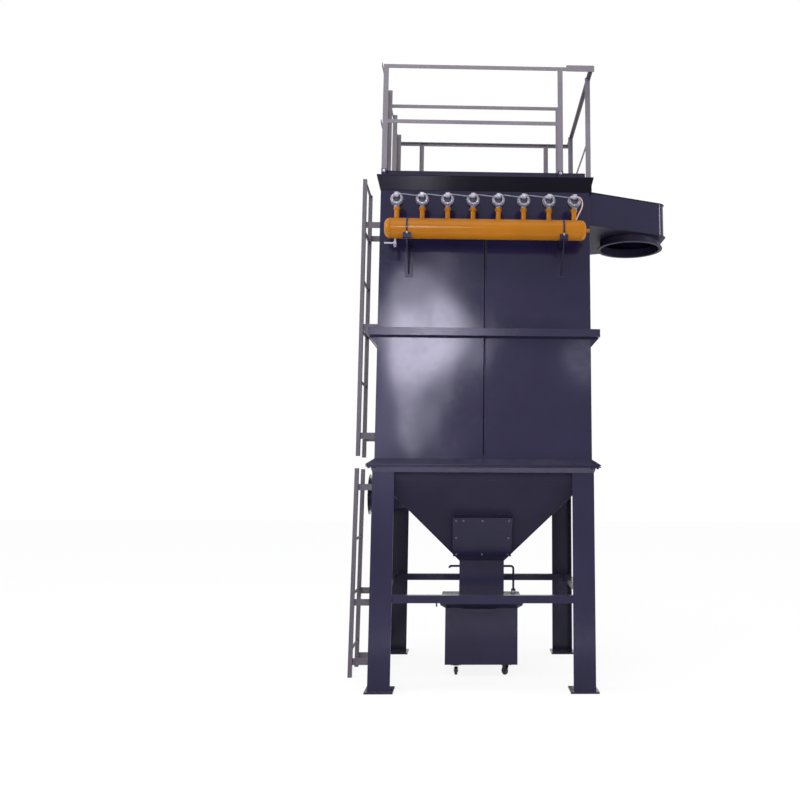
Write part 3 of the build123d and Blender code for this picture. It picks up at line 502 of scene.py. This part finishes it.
slope_length = math.hypot(hopper_reach - chute_half, hopper_knee - hopper_bottom)
up_slope = Vector((0, chute_half - hopper_reach, hopper_knee - hopper_bottom)) / slope_length
slope_normal = Vector((1, 0, 0)).cross(up_slope)
slope_centre = Vector((0, -(chute_half + (hopper_reach - chute_half) * access_centre),
                       hopper_bottom + (hopper_knee - hopper_bottom) * access_centre))


def on_slope(across, up, lift):
    """A point over the hopper's front wall, from the middle of the access opening."""
    return slope_centre + Vector((across, 0, 0)) + up_slope * up + slope_normal * lift


def add_access_bolts():
    """Eight bolts round the cover, and one more beside its upper left corner."""
    shape = bmesh.new()
    edge_x = access_half_width - access_bolt_inset
    edge_y = access_half_length - access_bolt_inset
    spots = [(x, y) for x in (-edge_x, 0, edge_x) for y in (-edge_y, 0, edge_y) if (x, y) != (0, 0)]
    spots.append((-edge_x + extra_bolt_offset, edge_y))
    for index, (x, y) in enumerate(spots):
        point = on_slope(x, y, access_rise + access_plate)
        add_bolt(shape, point, slope_normal, access_bolt_size, turn=access_bolt_turn * index)
    finish_piece("access_cover_bolts", shape, nickel, "collector")


# Bolts of the railing posts, tank straps, casters and flange

lug_height = 0.046
lug_bolt_drop = 0.016
lug_bolt_size = 0.018
front_lugs_x = (-0.777, 0.577)
rear_lugs_x = (-0.588, 0.602)
left_lugs_y = (-0.34, 0.19, 0.6)
strap_thickness = 0.0025
strap_nut_size = 0.014
ear_rise = 0.005
ear_profile = [(0.012, 0), (0.012, 0.004), (0.011, ear_rise)]
caster_bolt_offset = 0.033
caster_bolt_size = 0.011
flange_bolt_inset = 0.016
flange_bolt_step = 0.045
flange_bolt_size = 0.015


def add_lug_bolts():
    shape = bmesh.new()
    height = roof_z + lug_height - lug_bolt_drop
    for x in front_lugs_x:
        add_bolt(shape, (x, front_lug_y, height), (0, -1, 0), lug_bolt_size)
    for x in rear_lugs_x:
        add_bolt(shape, (x, -front_lug_y, height), (0, 1, 0), lug_bolt_size)
    for y in left_lugs_y:
        add_bolt(shape, (left_lug_x, y, height), (-1, 0, 0), lug_bolt_size)
    finish_piece("railing_post_bolts", shape, zinc, "collector")


def add_strap_nuts():
    """Each strap's two threaded ends pass a small ear beside the saddle."""
    nuts = bmesh.new()
    ears = bmesh.new()
    offset = math.sqrt((tank_radius + strap_thickness) ** 2 - (tank_z - strap_end_z) ** 2)
    for side in (-1, 1):
        for end in (-1, 1):
            point = Vector((side * strap_x, tank_y + end * offset, strap_end_z))
            add_turned(ears, seat(point, (0, 0, -1)), ear_profile, round_sides)
            add_nut_and_stud(nuts, point - Vector((0, 0, ear_rise)), (0, 0, -1), strap_nut_size)
    finish_piece("strap_ends", ears, tank_paint, "collector")
    finish_piece("strap_nuts", nuts, zinc, "collector")


def add_caster_bolts():
    shape = bmesh.new()
    for side_x, side_y in corners:
        for corner_x, corner_y in corners:
            x = side_x * caster_x + corner_x * caster_bolt_offset
            y = side_y * caster_y + corner_y * caster_bolt_offset
            add_bolt(shape, (x, y, caster_plate_z), (0, 0, -1), caster_bolt_size)
    finish_piece("caster_plate_bolts", shape, zinc, "bin")


def add_flange_bolts():
    """Bolts near the corners of the flange under the casing, with their heads below."""
    shape = bmesh.new()
    line = flange_edge - flange_bolt_inset
    back = line - flange_bolt_step
    for side_x, side_y in corners:
        for x, y in ((back, line), (line, back)):
            point = (side_x * x, side_y * y, flange_underside)
            add_bolt(shape, point, (0, 0, -1), flange_bolt_size)
    finish_piece("flange_corner_bolts", shape, body_paint, "collector")


add_access_bolts()
add_lug_bolts()
add_strap_nuts()
add_caster_bolts()
add_flange_bolts()


# Joint down the seam of the front wall

seam_gap_x = -0.002
seam_gap_half = 0.004
seam_gap_rise = 0.0004
seam_edge_x = 0.0062
seam_edge_radius = 0.0042
seam_end_clear = 0.014


def add_seam_joints():
    """The gap between the front sheets as a near-black strip of painted shade, and the right one's edge,
    below and above the girdle.
    """
    gaps = bmesh.new()
    edges = bmesh.new()
    for low, high in ((seam_low, girdle_low), (girdle_high, tank_z)):
        start = low + seam_end_clear
        end = high - seam_end_clear
        for shape, x, radius, rise in ((gaps, seam_gap_x, seam_gap_half, seam_gap_rise),
                                       (edges, seam_edge_x, seam_edge_radius, seam_edge_radius)):
            flat = Matrix.Translation((x, seam_face_y, start)) @ Matrix.Diagonal((1, rise / radius, 1, 1))
            add_turned(shape, flat, [(radius, 0), (radius, end - start)], round_sides)
    finish_piece("seam_gap_shade", gaps, seam_shade_paint, "collector")
    finish_piece("seam_edges", edges, body_paint, "collector")


add_seam_joints()


# Fittings of the pulse valves

lid_bolt_count = 6
lid_bolt_circle = 0.0345
lid_bolt_size = 0.0095
coil_margin = 0.006
recess_profile = [(0.0266, 0), (0.0266, 0.0012), (0.019, 0.003), (0.008, 0.0058), (0.003, 0.006)]
recess_sides = 32
coil_nut_profile = [(0.0095, 0), (0.0095, 0.004), (0.0085, 0.005)]
gland_profile = [(0.0085, 0), (0.0085, 0.006), (0.0065, 0.011), (0.005, 0.014)]
gland_sides = 20
gland_depth = 0.017
gland_offset = 0.005
hose_radius = 0.0045


def valve_places():
    first = -valve_pitch * (valve_count - 1) / 2
    return [first + index * valve_pitch for index in range(valve_count)]


def add_lid_bolts():
    """Six small bolts on each valve's lid; the coil hides those above the middle."""
    shape = bmesh.new()
    for x in valve_places():
        for index in range(lid_bolt_count):
            angle = 2 * math.pi * (index + 0.5) / lid_bolt_count
            along = x + lid_bolt_circle * math.cos(angle)
            height = valve_z + lid_bolt_circle * math.sin(angle)
            beside = abs(along - x) < coil_half + coil_margin
            hidden = beside and height > coil_z - coil_half - coil_margin
            if not hidden:
                add_bolt(shape, (along, valve_face_y, height), (0, -1, 0), lid_bolt_size)
    finish_piece("valve_lid_bolts", shape, zinc, "collector")


def add_lid_recesses():
    """The dished middle of each valve's lid, drawn dark as painted shade in the dish."""
    shape = bmesh.new()
    for x in valve_places():
        place = seat((x, lid_face_y, valve_z), (0, -1, 0))
        add_turned(shape, place, recess_profile, recess_sides)
    finish_piece("valve_lid_recesses", shape, shaded_recess_metal, "collector")


def add_coil_nuts():
    """The round nut that holds each coil on its stem, with the stem's end."""
    shape = bmesh.new()
    for x in valve_places():
        place = seat((x, coil_face_y, coil_z), (0, -1, 0))
        add_turned(shape, place, coil_nut_profile, round_sides)
    finish_piece("coil_nuts", shape, zinc, "collector")


def add_lead_glands():
    """Small glands where the leads enter and leave the coils."""
    shape = bmesh.new()
    places = valve_places()
    for side, row in ((1, places[:-1]), (-1, places[1:])):
        for x in row:
            point = (x + side * coil_half, coil_face_y + gland_depth, coil_z + side * gland_offset)
            add_turned(shape, seat(point, (side, 0, 0)), gland_profile, gland_sides)
    finish_piece("lead_glands", shape, coil_plastic, "collector")


def add_end_hose():
    """The short hose from the last valve's coil round to the top of the tank."""
    x = valve_places()[-1]
    curve = bpy.data.curves.new("end_valve_hose", "CURVE")
    curve.dimensions = "3D"
    curve.bevel_depth = hose_radius
    curve.bevel_resolution = 4
    line = curve.splines.new("NURBS")
    route = [(x + coil_half, -1.058, coil_z),
             (x + 0.035, -1.058, coil_z + 0.002),
             (x + 0.058, -1.056, coil_z - 0.03),
             (x + 0.056, -1.05, coil_z - 0.08),
             (x + 0.03, -1.036, coil_z - 0.125),
             (x + 0.012, -1.03, 3.398)]
    line.points.add(len(route) - 1)
    for point, place in zip(line.points, route):
        point.co = (*place, 1.0)
    line.order_u = 3
    line.use_endpoint_u = True
    curve.materials.append(hose_sheath)
    hose = bpy.data.objects.new("end_valve_hose", curve)
    bpy.context.scene.collection.objects.link(hose)
    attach(hose, "collector")


add_lid_bolts()
add_lid_recesses()
add_coil_nuts()
add_lead_glands()
add_end_hose()


# Weld beads

tank_bead = 0.0028
nipple_bead = 0.003
hopper_bead = 0.003
leg_bead = 0.0035
rung_bead = 0.0022
girdle_bead = 0.0025
bead_offset = 0.001
access_bead_inset = 0.005
girdle_bead_inset = 0.003
girdle_bead_clear = 0.004
tank_joint_points = 60
nipple_points = 24
rung_points = 16


def add_tank_welds():
    shape = bmesh.new()
    for side in (-1, 1):
        centre = (side * tank_weld_x, tank_y, tank_z)
        add_bead(shape, circle_points(centre, tank_radius, (1, 0, 0), tank_joint_points), tank_bead)
    foot = nipple_radius + bead_offset
    for x in valve_places():
        ring = []
        for index in range(nipple_points + 1):
            angle = 2 * math.pi * index / nipple_points
            y = foot * math.sin(angle)
            z = tank_z + math.sqrt(tank_radius ** 2 - y * y)
            ring.append((x + foot * math.cos(angle), tank_y + y, z))
        add_bead(shape, ring, nipple_bead)
    finish_piece("tank_welds", shape, tank_paint, "collector")


def add_hopper_welds():
    """Beads up the hopper's four corners, round its outlet and round the access frame."""
    shape = bmesh.new()
    for side_x, side_y in corners:
        add_bead(shape, [(side_x * chute_half, side_y * chute_half, hopper_bottom),
                         (side_x * hopper_reach, side_y * hopper_reach, hopper_knee)], hopper_bead)
    outlet = [(x * chute_half, y * chute_half, hopper_bottom) for x, y in corner_walk]
    add_bead(shape, outlet, hopper_bead)
    half_x = access_half_width - access_bead_inset
    half_y = access_half_length - access_bead_inset
    access = [on_slope(x * half_x, y * half_y, bead_offset) for x, y in corner_walk]
    add_bead(shape, access, hopper_bead)
    finish_piece("hopper_welds", shape, body_paint, "collector")


def add_leg_welds():
    """Beads where the legs stand on their base plates."""
    shape = bmesh.new()
    for side_x, side_y in corners:
        corner = Vector((side_x * leg_x, side_y * leg_y, base_plate_top))
        add_bead(shape, [corner - Vector((side_x * leg_section, 0, 0)), corner,
                         corner - Vector((0, side_y * leg_section, 0))], leg_bead)
    finish_piece("leg_welds", shape, body_paint, "collector")


def ladder_axis_x(z):
    if z > ladder_knee_z:
        return ladder_upper_x
    return ladder_foot_x + (ladder_knee_x - ladder_foot_x) * z / ladder_knee_z


def add_ladder_welds():
    shape = bmesh.new()
    for index in range(rung_count):
        z = first_rung + index * rung_pitch
        for y in (ladder_inner_front, ladder_inner_rear):
            centre = (ladder_axis_x(z), y, z)
            ring = circle_points(centre, rung_radius + bead_offset, (0, 1, 0), rung_points)
            add_bead(shape, ring, rung_bead)
    finish_piece("ladder_welds", shape, shaded_ladder_paint, "collector")


def add_girdle_welds():
    """Mitre beads at the girdle's four corners."""
    shape = bmesh.new()
    edge = girdle_reach - girdle_bead_inset
    for side_x, side_y in corners:
        x = side_x * edge
        y = side_y * edge
        add_bead(shape, [(x, y, girdle_low + girdle_bead_clear), (x, y, girdle_high - girdle_bead_clear)],
                 girdle_bead)
    finish_piece("girdle_welds", shape, body_paint, "collector")


add_tank_welds()
add_hopper_welds()
add_leg_welds()
add_ladder_welds()
add_girdle_welds()


# Floor, light and background

def rays_that_show(tree):
    """1 for rays from the camera and for those that metal and glass send on, and 0 for the rest."""
    path = tree.nodes.new("ShaderNodeLightPath")
    total = path.outputs["Is Camera Ray"]
    for kind in ("Is Glossy Ray", "Is Transmission Ray"):
        adder = tree.nodes.new("ShaderNodeMath")
        adder.use_clamp = True
        tree.links.new(total, adder.inputs[0])
        tree.links.new(path.outputs[kind], adder.inputs[1])
        total = adder.outputs[0]
    return total


floor_glow = 0.88
floor_size = 60.0


def white_floor():
    """A pale floor that shows nearly white, and still keeps the object's shadow."""
    material, tree, shader = new_material("floor_white")
    shader.inputs["Base Color"].default_value = (0.9, 0.9, 0.9, 1.0)
    shader.inputs["Roughness"].default_value = 0.9
    glow = tree.nodes.new("ShaderNodeEmission")
    glow.inputs["Color"].default_value = (1.0, 1.0, 1.0, 1.0)
    share = remap(tree, rays_that_show(tree), 0.0, 1.0, 0.0, floor_glow)
    mixer = tree.nodes.new("ShaderNodeMixShader")
    tree.links.new(share, mixer.inputs[0])
    tree.links.new(shader.outputs[0], mixer.inputs[1])
    tree.links.new(glow.outputs[0], mixer.inputs[2])
    tree.links.new(mixer.outputs[0], tree.nodes["Material Output"].inputs["Surface"])
    return material


def add_floor():
    bpy.ops.mesh.primitive_plane_add(size=floor_size, location=(0, 0, 0))
    floor = bpy.context.object
    floor.name = "floor"
    floor.data.materials.append(white_floor())


def add_world():
    """Light from all sides, brighter from the left and from above, before a plain white background."""
    world = bpy.data.worlds.new("world")
    bpy.context.scene.world = world
    world.use_nodes = True
    tree = world.node_tree
    background = tree.nodes["Background"]
    background.inputs["Color"].default_value = (0.9, 0.9, 1.0, 1.0)
    direction = tree.nodes.new("ShaderNodeTexCoord").outputs["Generated"]
    parts = tree.nodes.new("ShaderNodeSeparateXYZ")
    tree.links.new(direction, parts.inputs["Vector"])
    aside = remap(tree, parts.outputs["X"], -0.9, 0.9, 0.75, 0.4)
    above = remap(tree, parts.outputs["Z"], 0.45, 1.0)
    total = tree.nodes.new("ShaderNodeMath")
    tree.links.new(aside, total.inputs[0])
    tree.links.new(above, total.inputs[1])
    tree.links.new(total.outputs[0], background.inputs["Strength"])
    white = tree.nodes.new("ShaderNodeBackground")
    white.inputs["Color"].default_value = (1.0, 1.0, 1.0, 1.0)
    mixer = tree.nodes.new("ShaderNodeMixShader")
    tree.links.new(rays_that_show(tree), mixer.inputs[0])
    tree.links.new(background.outputs[0], mixer.inputs[1])
    tree.links.new(white.outputs[0], mixer.inputs[2])
    tree.links.new(mixer.outputs[0], tree.nodes["World Output"].inputs["Surface"])


def area_light(name, place, target, size_x, size_y, power, shape="RECTANGLE", tint=(1.0, 1.0, 1.0)):
    data = bpy.data.lights.new(name, "AREA")
    data.shape = shape
    data.color = tint
    data.size = size_x
    data.size_y = size_y
    data.energy = power
    light = bpy.data.objects.new(name, data)
    bpy.context.scene.collection.objects.link(light)
    light.location = place
    light.visible_camera = False
    aim = Vector(target) - Vector(place)
    light.rotation_euler = aim.to_track_quat("-Z", "Y").to_euler()


violet_light = (0.84, 0.81, 1.0)
blue_light = (0.66, 0.68, 1.0)

front_panel = (-0.4, -0.8, 2.4)

add_floor()
add_world()
area_light("tall_key_light", place=(-0.95, -8.6, 3.5), target=front_panel, size_x=0.6, size_y=3.2,
           power=76, shape="ELLIPSE", tint=violet_light)
area_light("wide_key_light", place=(-0.75, -8.62, 3.82), target=front_panel, size_x=1.6, size_y=1.15,
           power=84, shape="ELLIPSE", tint=violet_light)
area_light("right_haze_light", place=(1.75, -8.6, 3.5), target=(0.7, -0.8, 2.4), size_x=0.4, size_y=0.8,
           power=4, shape="ELLIPSE", tint=violet_light)
area_light("edge_light", place=(-1.62, -8.64, 2.5), target=(-0.7, -0.8, 2.0), size_x=0.4, size_y=2.2,
           power=14, tint=blue_light)
area_light("low_light", place=(0, -2.75, 0.02), target=(0, -2.75, 1.0), size_x=3.0, size_y=0.22,
           power=19, tint=violet_light)
area_light("top_light", place=(-1.5, -6.0, 9.5), target=(0, 0, 2.4), size_x=6.0, size_y=6.0, power=260)
area_light("side_light", place=(-7.0, -3.0, 5.0), target=(0, 0, 2.2), size_x=3.0, size_y=4.0, power=260)
area_light("right_light", place=(6.5, -2.0, 4.0), target=(1.2, 0, 3.2), size_x=0.7, size_y=3.0, power=110)
